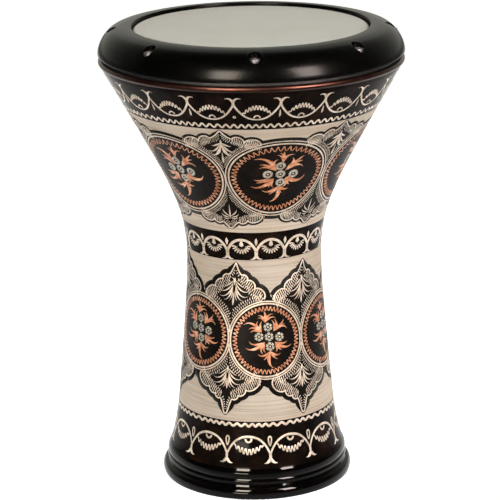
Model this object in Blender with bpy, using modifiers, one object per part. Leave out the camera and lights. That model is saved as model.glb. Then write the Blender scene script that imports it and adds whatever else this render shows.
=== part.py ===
"""Goblet drum (darbuka) with a spun copper shell and a screw-tuned head.

Metres, +Z up. The foot stands on z = 0, the Z axis is the drum's own axis
and the front of the drum faces -Y.
"""
import math

import bpy

MM = 0.001

# Whole drum
HEIGHT = 435.0 * MM
SIDES = 56
SMALL_SIDES = 16
HALF_SIDE = math.pi / SMALL_SIDES

# Outline of the shell: a straight bowl cone and a straight stem taper that
# blend into each other at the waist, and a flare that opens above the foot.
CONE_RADIUS_AT_300 = 84.24 * MM
CONE_SLOPE = 0.5536
STEM_RADIUS_AT_100 = 71.68 * MM
STEM_SLOPE = 0.0887
WAIST_BLEND = 13.68 * MM
FLARE_RADIUS = 5.73 * MM
FLARE_START = 28.0 * MM
FLARE_FADE = 17.5 * MM
WALL = 1.5 * MM

# Bowl: rolled rim at the top, plain edge at the waist seam
BEAD_CENTRE = (138.9 * MM, 403.4 * MM)
BEAD_RADIUS = 2.8 * MM
BOWL_TOP = 400.75 * MM
SEAM = 238.0 * MM

# Stem: swaged collar that slips inside the bowl's neck, rolled foot
COLLAR_RADIUS = 63.0 * MM
COLLAR_WALL = 1.4 * MM
COLLAR_TOP = 250.0 * MM
FOOT_INNER_RADIUS = 83.6 * MM
FOOT_FLAT = (84.4 * MM, 90.2 * MM)

# Clearance between pieces that touch on the real drum
FIT = 0.3 * MM

# Bearing ring
CROWN_TOP = 431.5 * MM
BEARING_INNER = 104.5 * MM
BEARING_OUTER = 108.2 * MM
DECK_TOP = 408.3 * MM
DECK_BOTTOM = 398.0 * MM
DECK_RADIUS = 135.6 * MM
FLANGE_RADIUS = 137.5 * MM
FLANGE_BOTTOM = 406.3 * MM

# Drumhead and its hoop
FILM = 0.4 * MM
FILM_BEND_CENTRE = (106.3 * MM, 429.6 * MM)
FILM_BEND = 45.0
COLLAR_BEND = 37.0
HEAD_COLLAR_END = 417.0 * MM
HOOP_INNER = 109.3 * MM
HOOP_OUTER = 117.7 * MM
HOOP_TOP = 425.7 * MM
HOOP_BOTTOM = 416.0 * MM
HOOP_WALL = 1.6 * MM

# Tuning ring
RING_OPENING = 110.0 * MM
RING_RADIUS = 142.0 * MM
RING_LIP = 409.7 * MM
RING_SKIRT_INNER = 138.2 * MM
RING_UNDERSIDE = 414.5 * MM
RING_PRESS_FACE = 426.0 * MM
RING_PRESS_RADIUS = 119.5 * MM

# Tuning bolts, M6 hexagon socket cap screws
BOLTS = 8
BOLT_CIRCLE = 130.0 * MM
BOLT_RADIUS = 3.0 * MM
BOLT_END = 397.0 * MM
BOLT_HEAD_RADIUS = 5.0 * MM
BOLT_HEAD_BOTTOM = 422.6 * MM
BOLT_HEAD_TOP = 428.6 * MM
SOCKET_RADIUS = 2.887 * MM
SOCKET_FLOOR = 425.4 * MM
SOCKET_TURN = math.radians(10.0)
HEAD_POCKET_RADIUS = 6.0 * MM
HEAD_POCKET_FLOOR = 421.0 * MM
CLEARANCE_HOLE_RADIUS = 3.4 * MM
THREAD_HOLE_RADIUS = 3.3 * MM
WASHER_RADIUS = 5.5 * MM
WASHER_THICKNESS = 1.0 * MM


def clear_scene():
    """Take every object out of the start-up scene."""
    for obj in list(bpy.data.objects):
        bpy.data.objects.remove(obj, do_unlink=True)


def new_collection(name):
    """Add a collection to the scene."""
    collection = bpy.data.collections.new(name)
    bpy.context.scene.collection.children.link(collection)
    return collection


def new_material(name, colour, metallic, roughness):
    """Make a plain Principled material."""
    material = bpy.data.materials.new(name)
    material.use_nodes = True
    shader = material.node_tree.nodes["Principled BSDF"]
    shader.inputs["Base Color"].default_value = (*colour, 1.0)
    shader.inputs["Metallic"].default_value = metallic
    shader.inputs["Roughness"].default_value = roughness
    return material


def shell_radius(z):
    """Outer radius of the shell at height z, above the foot mouldings."""
    cone = CONE_RADIUS_AT_300 + CONE_SLOPE * (z - 300.0 * MM)
    stem = STEM_RADIUS_AT_100 - STEM_SLOPE * (z - 100.0 * MM)
    blend = WAIST_BLEND * math.log1p(math.exp((cone - stem) / WAIST_BLEND))
    flare = FLARE_RADIUS * math.exp((FLARE_START - z) / FLARE_FADE)
    return stem + blend + flare


def inner_radius(z):
    """Inner radius of the shell wall at height z."""
    step = 0.5 * MM
    slope = (shell_radius(z + step) - shell_radius(z - step)) / (2.0 * step)
    return shell_radius(z) - WALL * math.sqrt(1.0 + slope * slope)


def heights(top, bottom, steps):
    """Evenly spaced heights from top down to bottom."""
    return [top + (bottom - top) * i / steps for i in range(steps + 1)]


def arc(centre, radius, start, end, steps):
    """Points on an arc in the (radius, height) plane, angles in degrees."""
    points = []
    for i in range(steps + 1):
        angle = math.radians(start + (end - start) * i / steps)
        points.append((centre[0] + radius * math.cos(angle), centre[1] + radius * math.sin(angle)))
    return points


def bezier(start, handle_a, handle_b, end, steps):
    """Points on a cubic curve in the (radius, height) plane."""
    points = []
    for i in range(steps + 1):
        t = i / steps
        s = 1.0 - t
        weights = (s * s * s, 3.0 * s * s * t, 3.0 * s * t * t, t * t * t)
        knots = (start, handle_a, handle_b, end)
        radius = sum(w * k[0] for w, k in zip(weights, knots))
        height = sum(w * k[1] for w, k in zip(weights, knots))
        points.append((radius, height))
    return points


def lathe(name, outline, sides, closed, collection, material=None, at=(0.0, 0.0)):
    """Turn an outline about a vertical axis through the point at."""
    mesh = bpy.data.meshes.new(name)
    points = [(radius, 0.0, height) for radius, height in outline]
    edges = [(i, i + 1) for i in range(len(points) - 1)]
    if closed:
        edges.append((len(points) - 1, 0))
    mesh.from_pydata(points, edges, [])
    obj = bpy.data.objects.new(name, mesh)
    obj.location = (at[0], at[1], 0.0)
    collection.objects.link(obj)
    screw = obj.modifiers.new("Turn", "SCREW")
    screw.angle = 2.0 * math.pi
    screw.steps = sides
    screw.render_steps = sides
    screw.use_merge_vertices = True
    screw.merge_threshold = 0.00001
    screw.use_smooth_shade = True
    if material is not None:
        mesh.materials.append(material)
    return obj


def cut(obj, cutter):
    """Cut one solid out of another."""
    modifier = obj.modifiers.new("Cut", "BOOLEAN")
    modifier.operation = "DIFFERENCE"
    modifier.solver = "EXACT"
    modifier.object = cutter


def as_cutter(obj, turn):
    """Show a cutting solid as wire only, turned about its own axis."""
    obj.rotation_euler.z = turn
    obj.display_type = "WIRE"
    obj.hide_render = True
    return obj


def bolt_places():
    """Centres of the tuning bolts, the first one at the front."""
    places = []
    for i in range(BOLTS):
        angle = 2.0 * math.pi * i / BOLTS
        places.append((BOLT_CIRCLE * math.sin(angle), -BOLT_CIRCLE * math.cos(angle)))
    return places


def make_bowl_shell(parts, material):
    """Spun copper bowl with a rolled rim."""
    rim = arc(BEAD_CENTRE, BEAD_RADIUS, 252.0, -72.0, 8)
    outside = [(shell_radius(z), z) for z in heights(BOWL_TOP - 1.0 * MM, SEAM, 9)]
    inside = [(inner_radius(z), z) for z in reversed(heights(BOWL_TOP - 1.0 * MM, SEAM, 9))]
    return lathe("bowl_shell", rim + outside + inside, SIDES, True, parts, material)


def foot_outline():
    """Mouldings of the foot, from the flare down to the floor."""
    bulge = bezier(
        (shell_radius(FLARE_START), FLARE_START),
        (85.6 * MM, 25.6 * MM),
        (86.6 * MM, 21.5 * MM),
        (85.1 * MM, 18.3 * MM),
        4,
    )
    bead = [(86.1 * MM, 16.4 * MM), (86.2 * MM, 14.2 * MM), (85.5 * MM, 12.4 * MM)]
    roll = bezier(
        (86.2 * MM, 11.0 * MM),
        (90.4 * MM, 10.4 * MM),
        (92.2 * MM, 4.8 * MM),
        (FOOT_FLAT[1], 0.0),
        5,
    )
    return bulge + bead + roll


def make_stem_shell(parts, material):
    """Spun copper stem, with a collar at the top and the foot at the bottom."""
    collar = [
        (COLLAR_RADIUS - COLLAR_WALL, COLLAR_TOP),
        (COLLAR_RADIUS, COLLAR_TOP),
        (COLLAR_RADIUS, SEAM - FIT),
    ]
    outside = [(shell_radius(z), z) for z in heights(SEAM - FIT, FLARE_START, 9)]
    foot = foot_outline()
    sole = [(FOOT_FLAT[0], 0.0), (FOOT_INNER_RADIUS, 0.8 * MM), (FOOT_INNER_RADIUS, 21.0 * MM)]
    inside = [(inner_radius(z), z) for z in reversed(heights(SEAM - 4.0 * MM, FLARE_START, 7))]
    neck = [(COLLAR_RADIUS - COLLAR_WALL, SEAM - 1.6 * MM)]
    outline = collar + outside + foot[1:] + sole + inside + neck
    return lathe("stem_shell", outline, SIDES, True, parts, material)


def make_bearing_ring(parts, cutters, material):
    """Cast ring on the bowl's rim that carries the head and the threads."""
    crown = arc((106.3 * MM, 429.6 * MM), 1.9 * MM, 90.0, 0.0, 3)
    deck = [
        (BEARING_OUTER, DECK_TOP),
        (FLANGE_RADIUS, DECK_TOP),
        (FLANGE_RADIUS, FLANGE_BOTTOM),
        (DECK_RADIUS, FLANGE_BOTTOM),
        (DECK_RADIUS, DECK_BOTTOM),
        (124.0 * MM, DECK_BOTTOM),
        (121.5 * MM, 401.5 * MM),
        (BEARING_INNER, 401.5 * MM),
    ]
    lip = arc((106.0 * MM, 430.0 * MM), 1.5 * MM, 180.0, 90.0, 3)
    ring = lathe("bearing_ring", crown + deck + lip, SIDES, True, parts, material)
    for i, place in enumerate(bolt_places()):
        outline = [
            (0.0, DECK_TOP + 2.0 * MM),
            (THREAD_HOLE_RADIUS, DECK_TOP + 2.0 * MM),
            (THREAD_HOLE_RADIUS, DECK_BOTTOM - 2.0 * MM),
            (0.0, DECK_BOTTOM - 2.0 * MM),
        ]
        name = "thread_hole_%d" % (i + 1)
        hole = lathe(name, outline, SMALL_SIDES, False, cutters, at=place)
        cut(ring, as_cutter(hole, HALF_SIDE))
    return ring


def make_drumhead(parts, material):
    """Flat film of the head, out to the bend over the bearing ring's crown."""
    under = CROWN_TOP + FIT - FILM_BEND_CENTRE[1]
    outline = [(0.0, CROWN_TOP + FIT + FILM)]
    outline += arc(FILM_BEND_CENTRE, under + FILM, 90.0, FILM_BEND, 2)
    outline += arc(FILM_BEND_CENTRE, under, FILM_BEND, 90.0, 2)
    outline += [(0.0, CROWN_TOP + FIT)]
    return lathe("drumhead", outline, SIDES, False, parts, material)


def make_head_collar(parts, material):
    """Turned-down edge of the head, a separate solid from the flat film."""
    under = CROWN_TOP + FIT - FILM_BEND_CENTRE[1]
    outside = arc(FILM_BEND_CENTRE, under + FILM, COLLAR_BEND, 0.0, 2)
    inside = arc(FILM_BEND_CENTRE, under, 0.0, COLLAR_BEND, 2)
    end = [(outside[-1][0], HEAD_COLLAR_END), (inside[0][0], HEAD_COLLAR_END)]
    return lathe("head_collar", outside + end + inside, SIDES, True, parts, material)


def make_flesh_hoop(parts, material):
    """Channel-section hoop around the collar of the head."""
    outline = [
        (HOOP_INNER, HOOP_TOP),
        (HOOP_OUTER, HOOP_TOP),
        (HOOP_OUTER, HOOP_BOTTOM),
        (HOOP_OUTER - HOOP_WALL, HOOP_BOTTOM),
        (HOOP_OUTER - HOOP_WALL, HOOP_TOP - HOOP_WALL),
        (HOOP_INNER + HOOP_WALL, HOOP_TOP - HOOP_WALL),
        (HOOP_INNER + HOOP_WALL, HOOP_BOTTOM),
        (HOOP_INNER, HOOP_BOTTOM),
    ]
    return lathe("flesh_hoop", outline, SIDES, True, parts, material)


def make_tuning_ring(parts, cutters, material):
    """Cast ring that pulls the hoop down, with a pocket for each bolt."""
    top = [
        (RING_OPENING, HEIGHT - 0.9 * MM),
        (RING_OPENING + 0.9 * MM, HEIGHT),
        (119.5 * MM, HEIGHT - 0.4 * MM),
    ]
    shoulder = bezier(
        (126.0 * MM, 433.2 * MM),
        (133.8 * MM, 431.2 * MM),
        (141.6 * MM, 419.5 * MM),
        (RING_RADIUS, 410.7 * MM),
        7,
    )
    skirt = [
        (RING_RADIUS - 1.0 * MM, RING_LIP),
        (RING_SKIRT_INNER + 0.6 * MM, RING_LIP),
        (RING_SKIRT_INNER, RING_LIP + 0.6 * MM),
        (RING_SKIRT_INNER, RING_UNDERSIDE),
        (RING_PRESS_RADIUS, RING_UNDERSIDE),
        (RING_PRESS_RADIUS, RING_PRESS_FACE),
        (RING_OPENING, RING_PRESS_FACE),
    ]
    ring = lathe("tuning_ring", top + shoulder + skirt, SIDES, True, parts, material)
    for i, place in enumerate(bolt_places()):
        outline = [
            (0.0, HEIGHT + 2.0 * MM),
            (HEAD_POCKET_RADIUS, HEIGHT + 2.0 * MM),
            (HEAD_POCKET_RADIUS, HEAD_POCKET_FLOOR),
            (CLEARANCE_HOLE_RADIUS, HEAD_POCKET_FLOOR),
            (CLEARANCE_HOLE_RADIUS, RING_UNDERSIDE - 2.0 * MM),
            (0.0, RING_UNDERSIDE - 2.0 * MM),
        ]
        name = "bolt_pocket_%d" % (i + 1)
        pocket = lathe(name, outline, SMALL_SIDES, False, cutters, at=place)
        cut(ring, as_cutter(pocket, HALF_SIDE))
    return ring


def make_bolt(number, place, parts, cutters, material):
    """Cap screw with a hexagon socket."""
    chamfer = 0.5 * MM
    outline = [
        (0.0, BOLT_HEAD_TOP),
        (BOLT_HEAD_RADIUS - chamfer, BOLT_HEAD_TOP),
        (BOLT_HEAD_RADIUS, BOLT_HEAD_TOP - chamfer),
        (BOLT_HEAD_RADIUS, BOLT_HEAD_BOTTOM),
        (BOLT_RADIUS, BOLT_HEAD_BOTTOM),
        (BOLT_RADIUS, BOLT_END + chamfer),
        (BOLT_RADIUS - chamfer, BOLT_END),
        (0.0, BOLT_END),
    ]
    name = "tuning_bolt_%d" % number
    bolt = lathe(name, outline, SMALL_SIDES, False, parts, material, at=place)
    socket = [
        (0.0, BOLT_HEAD_TOP + 1.0 * MM),
        (SOCKET_RADIUS, BOLT_HEAD_TOP + 1.0 * MM),
        (SOCKET_RADIUS, SOCKET_FLOOR),
        (0.0, SOCKET_FLOOR),
    ]
    name = "hex_socket_%d" % number
    hexagon = lathe(name, socket, 6, False, cutters, at=place)
    cut(bolt, as_cutter(hexagon, SOCKET_TURN))
    return bolt


def make_washer(number, place, parts, material):
    """Flat washer under a bolt head."""
    bottom = HEAD_POCKET_FLOOR + FIT
    outline = [
        (CLEARANCE_HOLE_RADIUS, bottom + WASHER_THICKNESS),
        (WASHER_RADIUS, bottom + WASHER_THICKNESS),
        (WASHER_RADIUS, bottom),
        (CLEARANCE_HOLE_RADIUS, bottom),
    ]
    return lathe("washer_%d" % number, outline, SMALL_SIDES, True, parts, material, at=place)


def build():
    """Make every piece of the drum."""
    clear_scene()
    parts = new_collection("darbuka")
    cutters = new_collection("cutters")
    copper = new_material("tinned_copper", (0.60, 0.52, 0.43), 1.0, 0.35)
    lacquer = new_material("lacquered_copper", (0.02, 0.015, 0.013), 0.2, 0.15)
    casting = new_material("bearing_casting", (0.05, 0.05, 0.05), 0.6, 0.5)
    film = new_material("head_film", (0.62, 0.62, 0.58), 0.0, 0.4)
    hoop = new_material("hoop_aluminium", (0.75, 0.76, 0.77), 1.0, 0.35)
    powder = new_material("ring_powder_coat", (0.03, 0.03, 0.03), 0.3, 0.4)
    steel = new_material("bolt_steel", (0.25, 0.25, 0.26), 1.0, 0.3)
    zinc = new_material("washer_zinc", (0.6, 0.61, 0.62), 1.0, 0.35)
    make_bowl_shell(parts, copper)
    make_stem_shell(parts, lacquer)
    make_bearing_ring(parts, cutters, casting)
    make_drumhead(parts, film)
    make_head_collar(parts, film)
    make_flesh_hoop(parts, hoop)
    make_tuning_ring(parts, cutters, powder)
    for i, place in enumerate(bolt_places()):
        make_bolt(i + 1, place, parts, cutters, steel)
        make_washer(i + 1, place, parts, zinc)


build()
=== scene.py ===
import math

import bpy
from mathutils import Matrix, Vector


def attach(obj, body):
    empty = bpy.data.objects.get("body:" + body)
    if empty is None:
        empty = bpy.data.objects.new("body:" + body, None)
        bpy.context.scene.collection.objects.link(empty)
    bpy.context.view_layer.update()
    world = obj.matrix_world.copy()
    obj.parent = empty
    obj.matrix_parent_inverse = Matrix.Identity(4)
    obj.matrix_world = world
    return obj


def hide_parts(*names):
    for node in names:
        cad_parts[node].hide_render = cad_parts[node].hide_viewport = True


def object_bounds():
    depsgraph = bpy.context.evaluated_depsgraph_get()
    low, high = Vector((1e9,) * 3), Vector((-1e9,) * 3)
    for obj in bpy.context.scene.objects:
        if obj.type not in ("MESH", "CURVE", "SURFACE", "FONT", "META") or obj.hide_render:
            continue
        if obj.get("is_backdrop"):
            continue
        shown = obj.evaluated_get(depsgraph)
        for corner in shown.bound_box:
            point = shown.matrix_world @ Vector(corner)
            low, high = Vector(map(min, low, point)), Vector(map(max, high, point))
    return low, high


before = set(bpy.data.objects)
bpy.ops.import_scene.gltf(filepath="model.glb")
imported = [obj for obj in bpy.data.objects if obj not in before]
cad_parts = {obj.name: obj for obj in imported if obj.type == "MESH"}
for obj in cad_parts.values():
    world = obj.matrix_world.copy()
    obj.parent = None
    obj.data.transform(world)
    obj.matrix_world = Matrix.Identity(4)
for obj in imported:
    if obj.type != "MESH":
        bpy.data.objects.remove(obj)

MM = 0.001
CAD_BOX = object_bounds()

# ---------------- camera, mm and degrees

CAMERA_DISTANCE = 2087.0
CAMERA_PITCH = 16.6
CAMERA_SIDE = 1.2
CAMERA_ROLL = -0.85
AIM_HEIGHT = 217.5
AIM_LEFT = 3.85
LENS = 158.4

# ---------------- shell outline, mm

CONE_RADIUS_AT_300 = 84.24
CONE_SLOPE = 0.5536
STEM_RADIUS_AT_100 = 71.68
STEM_SLOPE = 0.0887
WAIST_BLEND = 13.68
FLARE_RADIUS = 5.73
FLARE_START = 28.0
FLARE_FADE = 17.5
WALL = 1.5
BEAD_CENTRE = (138.9, 403.4)
BEAD_RADIUS = 2.8
BOWL_TOP = 400.75
SEAM = 238.0
SEAM_GAP = 0.3
COLLAR_RADIUS = 63.0
COLLAR_TOP = 250.0
FOOT_INNER = 83.6

# Heights where tinned bands and black bands meet
ARCADE_BOTTOM = 363.0
WAIST_TOP = 254.0
WAIST_BOTTOM = 226.5
STEM_BLACK_TOP = 72.0

# Ornament: how far it stands out of the shell, and its line widths
FIELD_LIFT = 0.07
LINE_LIFT = 0.17
LINE_SUNK = 0.02
LINE_EDGE = 0.28
THINNEST = 0.12

# Sides of the turned shell
SIDES = 192


def shell_radius(z):
    """Outer radius of the shell at height z."""
    cone = CONE_RADIUS_AT_300 + CONE_SLOPE * (z - 300.0)
    stem = STEM_RADIUS_AT_100 - STEM_SLOPE * (z - 100.0)
    blend = WAIST_BLEND * math.log1p(math.exp((cone - stem) / WAIST_BLEND))
    return stem + blend + FLARE_RADIUS * math.exp((FLARE_START - z) / FLARE_FADE)


def shell_slope(z):
    """Change of the shell's radius with height."""
    return shell_radius(z + 0.5) - shell_radius(z - 0.5)


def stretch(z):
    """Length along the shell's surface for each millimetre of height."""
    return math.hypot(1.0, shell_slope(z))


def inner_radius(z):
    """Inner radius of the shell's wall at height z."""
    return shell_radius(z) - WALL * stretch(z)


def bezier(a, b, c, d, steps):
    """Points on a cubic curve, both ends included."""
    points = []
    for i in range(steps + 1):
        t = i / steps
        s = 1.0 - t
        weights = (s * s * s, 3.0 * s * s * t, 3.0 * s * t * t, t * t * t)
        points.append(tuple(sum(w * k[j] for w, k in zip(weights, (a, b, c, d))) for j in (0, 1)))
    return points


def arc(centre, radius, start, end, steps):
    """Points on a circular arc, angles in degrees."""
    points = []
    for i in range(steps + 1):
        angle = math.radians(start + (end - start) * i / steps)
        points.append((centre[0] + radius * math.cos(angle), centre[1] + radius * math.sin(angle)))
    return points


def between(a, b, share):
    """Point a share of the way from a to b."""
    return (a[0] + (b[0] - a[0]) * share, a[1] + (b[1] - a[1]) * share)


def spaced(start, end, step):
    """Values from start to end, about one step apart, both ends included."""
    count = max(1, round(abs(end - start) / step))
    return [start + (end - start) * i / count for i in range(count + 1)]


# ---------------- materials


class Nodes:
    """Short way to write a material's nodes."""

    def __init__(self, name):
        self.material = bpy.data.materials.new(name)
        self.material.use_nodes = True
        self.tree = self.material.node_tree
        self.shader = self.tree.nodes["Principled BSDF"]

    def add(self, kind, **settings):
        node = self.tree.nodes.new(kind)
        for key, value in settings.items():
            setattr(node, key, value)
        return node

    def link(self, source, target):
        self.tree.links.new(source, target)

    def place(self):
        """Where a point is on the object."""
        return self.add("ShaderNodeTexCoord").outputs["Object"]

    def vector(self, operation, a, b=None):
        """Vector sum or product; b is a socket, a vector or nothing."""
        node = self.add("ShaderNodeVectorMath", operation=operation)
        self.link(a, node.inputs[0])
        if isinstance(b, tuple):
            node.inputs[1].default_value = b
        elif b is not None:
            self.link(b, node.inputs[1])
        return node.outputs[0]

    def round_place(self, around, up):
        """Place that is stretched round the drum's axis, for spun and brushed marks."""
        unit = self.vector("NORMALIZE", self.vector("MULTIPLY", self.place(), (1.0, 1.0, 0.0)))
        wide = self.vector("MULTIPLY", unit, (around, around, around))
        return self.vector("ADD", wide, self.vector("MULTIPLY", self.place(), (0.0, 0.0, up)))

    def noise(self, place, scale, detail=2.0, rough=0.5):
        node = self.add("ShaderNodeTexNoise")
        node.inputs["Scale"].default_value = scale
        node.inputs["Detail"].default_value = detail
        node.inputs["Roughness"].default_value = rough
        self.link(place, node.inputs["Vector"])
        return node.outputs["Fac"]

    def ramp(self, value, stops):
        """Colours (or greys) along a value; stops are (position, colour)."""
        node = self.add("ShaderNodeValToRGB")
        ends = node.color_ramp.elements
        while len(ends) < len(stops):
            ends.new(0.5)
        for end, (position, colour) in zip(ends, stops):
            end.position = position
            if isinstance(colour, (int, float)):
                colour = (colour, colour, colour)
            end.color = (*colour, 1.0)
        self.link(value, node.inputs["Fac"])
        return node.outputs["Color"]

    def shade(self, a, b):
        """One colour darkened by another."""
        node = self.add("ShaderNodeMix", data_type="RGBA", blend_type="MULTIPLY")
        node.inputs[0].default_value = 1.0
        self.link(a, node.inputs[6])
        self.link(b, node.inputs[7])
        return node.outputs[2]

    def bump(self, height, distance, strength=1.0):
        node = self.add("ShaderNodeBump")
        node.inputs["Distance"].default_value = distance
        node.inputs["Strength"].default_value = strength
        self.link(height, node.inputs["Height"])
        self.link(node.outputs["Normal"], self.shader.inputs["Normal"])

    def colour(self, source):
        self.link(source, self.shader.inputs["Base Color"])

    def roughness(self, value, rough, smooth):
        """Roughness that follows a noise, from rough to smooth."""
        self.link(self.ramp(value, [(0.3, rough), (0.7, smooth)]), self.shader.inputs["Roughness"])

    def surface(self, metallic, specular=0.5):
        self.shader.inputs["Metallic"].default_value = metallic
        self.shader.inputs["Specular IOR Level"].default_value = specular


TIN_TONES = [(0.25, (0.50, 0.41, 0.315)), (0.5, (0.60, 0.505, 0.405)), (0.75, (0.67, 0.58, 0.485))]


def tinned_material():
    """Pale tinned copper, brushed round the drum, with fine darker scores."""
    n = Nodes("tinned_copper")
    fine = n.noise(n.round_place(0.6, 560.0), 1.0, 2.0, 0.5)
    score = n.noise(n.round_place(0.5, 330.0), 1.0, 1.0, 0.4)
    cloud = n.noise(n.place(), 22.0, 3.0)
    base = n.ramp(fine, TIN_TONES)
    lines = n.ramp(score, [(0.0, 1.0), (0.44, 1.0), (0.49, 0.84), (0.54, 1.0), (1.0, 1.0)])
    stain = n.ramp(cloud, [(0.3, (0.90, 0.87, 0.83)), (0.6, (1.0, 1.0, 1.0))])
    n.colour(n.shade(n.shade(base, lines), stain))
    n.roughness(fine, 0.58, 0.48)
    n.surface(0.0, 0.08)
    n.bump(fine, 0.00006, 0.4)
    return n.material


def coated_material(name, patch, tones, grain, roughness, bump, metallic=0.0, specular=0.5):
    """Colour in patches, with a grain that makes the roughness and the bumps.

    A grain with two numbers in front is spun round the drum: its scales around and up.
    """
    n = Nodes(name)
    n.colour(n.ramp(n.noise(n.place(), *patch), tones))
    place = n.round_place(*grain[0]) if isinstance(grain[0], tuple) else n.place()
    scale = 1.0 if isinstance(grain[0], tuple) else grain[0]
    marks = n.noise(place, scale, *grain[1:])
    n.roughness(marks, *roughness)
    n.surface(metallic, specular)
    n.bump(marks, *bump)
    return n.material


def graved_material(name, scales, tones, fleck_tone, rough, metallic):
    """Bright metal left by the graver: broad changes of tone and small dark flecks."""
    n = Nodes(name)
    fleck = n.noise(n.place(), scales[0], 3.0, 0.6)
    tone = n.noise(n.place(), scales[1], 2.0)
    flecks = n.ramp(fleck, [(0.3, fleck_tone), (0.55, (1.0, 1.0, 1.0))])
    n.colour(n.shade(n.ramp(tone, tones), flecks))
    n.roughness(fleck, rough, 0.3)
    n.surface(metallic)
    n.bump(fleck, 0.00008, 0.5)
    return n.material


def inside_material():
    """Dull raw copper inside the shell."""
    n = Nodes("inside_copper")
    spun = n.noise(n.round_place(2.5, 300.0), 1.0, 3.0, 0.6)
    patch = n.noise(n.place(), 30.0, 4.0, 0.6)
    base = n.ramp(patch, [(0.3, (0.20, 0.085, 0.045)), (0.7, (0.42, 0.20, 0.12))])
    n.colour(n.shade(base, n.ramp(spun, [(0.3, 0.75), (0.7, 1.0)])))
    n.roughness(spun, 0.6, 0.42)
    n.surface(0.85)
    n.bump(spun, 0.00010, 0.5)
    return n.material


def film_material():
    """Pale translucent plastic head, softly mottled."""
    n = Nodes("head_film")
    cloud = n.noise(n.place(), 26.0, 3.0, 0.55)
    grain = n.noise(n.place(), 2200.0, 2.0)
    base = n.ramp(cloud, [(0.35, (0.93, 0.91, 0.82)), (0.65, (0.96, 0.945, 0.865))])
    n.colour(n.shade(base, n.ramp(grain, [(0.35, 0.95), (0.6, 1.0)])))
    n.roughness(grain, 0.55, 0.44)
    n.surface(0.0)
    n.bump(grain, 0.00004, 0.4)
    return n.material


def patchy_material(name, noise, tones, roughness, metallic, specular=0.5, bump=(0.00004, 0.4)):
    """Material whose tone, roughness and small bumps all follow one noise."""
    n = Nodes(name)
    tone = n.noise(n.place(), *noise)
    n.colour(n.ramp(tone, tones))
    n.roughness(tone, *roughness)
    n.surface(metallic, specular)
    if bump:
        n.bump(tone, *bump)
    return n.material


def metal_material(name, dark, light, rough, metallic=1.0, scale=220.0):
    """Plain metal with small changes of tone and roughness."""
    tones = [(0.3, dark), (0.7, light)]
    return patchy_material(name, (scale, 4.0, 0.6), tones, (rough + 0.08, rough), metallic)


LACQUER_TONES = [(0.35, (0.0025, 0.002, 0.002)), (0.55, (0.008, 0.0045, 0.003)), (0.8, (0.030, 0.012, 0.006))]
FOOT_TONES = [(0.35, (0.001, 0.0009, 0.0009)), (0.6, (0.002, 0.0013, 0.0012)), (0.85, (0.012, 0.004, 0.0025))]
FIELD_TONES = [(0.35, (0.003, 0.0028, 0.0025)), (0.6, (0.009, 0.005, 0.0035)), (0.85, (0.030, 0.012, 0.006))]
BOSS_TONES = [(0.3, (0.20, 0.18, 0.135)), (0.5, (0.42, 0.39, 0.32)), (0.75, (0.66, 0.63, 0.54))]
SILVER_TONES = [(0.3, (0.58, 0.47, 0.36)), (0.55, (0.74, 0.64, 0.53)), (0.75, (0.86, 0.78, 0.68))]
COPPER_TONES = [(0.3, (0.42, 0.13, 0.045)), (0.5, (0.68, 0.27, 0.12)), (0.72, (0.88, 0.54, 0.36))]
# Rim bead: copper tones darkened to near black, painted shade under the ring's lip
BEAD_SHADE_TONES = [(0.3, (0.026, 0.009, 0.006)), (0.7, (0.052, 0.019, 0.013))]
POWDER_TONES = [(0.3, (0.0012, 0.0012, 0.0010)), (0.7, (0.0024, 0.0023, 0.0019))]

TIN = tinned_material()
# Black lacquer, brown where it is thin, with faint spinning marks under it
LACQUER = coated_material(
    "lacquered_copper", (55.0, 4.0, 0.65), LACQUER_TONES, ((2.0, 420.0), 3.0, 0.6), (0.14, 0.09),
    (0.00004, 0.35), specular=0.03,
)
# Glossy black lacquer of the foot, and the duller one of the medallions
FOOT = patchy_material("foot_lacquer", (40.0, 4.0, 0.65), FOOT_TONES, (0.06, 0.04), 0.0, 0.12, None)
FIELD = patchy_material(
    "field_lacquer", (90.0, 4.0, 0.65), FIELD_TONES, (0.42, 0.32), 0.0, 0.055, (0.00005, 0.4)
)
# Grey worn tin of the rosettes, and the bright metals left by the graver
BOSS = patchy_material("rosette_tin", (420.0, 3.0, 0.6), BOSS_TONES, (0.45, 0.28), 0.3, bump=(0.00008, 0.5))
SILVER = graved_material("engraved_tin", (900.0, 160.0), SILVER_TONES, (0.74, 0.70, 0.66), 0.45, 0.3)
COPPER = graved_material("engraved_copper", (800.0, 190.0), COPPER_TONES, (0.72, 0.62, 0.55), 0.42, 0.2)
# Polished copper of the rolled rim, darkened to near black: painted shade under the ring's lip
SHADED_BEAD = coated_material(
    "rim_copper_painted_shade", (60.0, 3.0), BEAD_SHADE_TONES, ((3.0, 900.0), 3.0), (0.36, 0.27), (0.00003, 0.4), metallic=0.9
)
INSIDE = inside_material()
# Satin black powder coat, with its fine orange-peel surface
POWDER = coated_material(
    "ring_powder_coat", (35.0, 3.0), POWDER_TONES, (1500.0, 2.0, 0.5), (0.24, 0.19), (0.00003, 0.5),
    specular=0.055,
)
FILM = film_material()
STEEL = metal_material("bolt_steel", (0.10, 0.10, 0.10), (0.30, 0.30, 0.31), 0.3)
# Near-black casting: its edge shows in the gap between the ring's lip and the rim bead, and its colour is
# painted shade for that gap
GAP_SHADE_CASTING = metal_material("bearing_casting", (0.010, 0.011, 0.013), (0.022, 0.024, 0.028), 0.4, 0.3, 120.0)
ALUMINIUM = metal_material("hoop_aluminium", (0.55, 0.56, 0.57), (0.72, 0.73, 0.74), 0.34)
ZINC = metal_material("washer_zinc", (0.48, 0.49, 0.50), (0.66, 0.67, 0.68), 0.3)


# ---------------- mesh building


def add_object(name, data):
    """Puts a mesh, light or camera in the scene."""
    obj = bpy.data.objects.new(name, data)
    bpy.context.scene.collection.objects.link(obj)
    return obj


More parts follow.
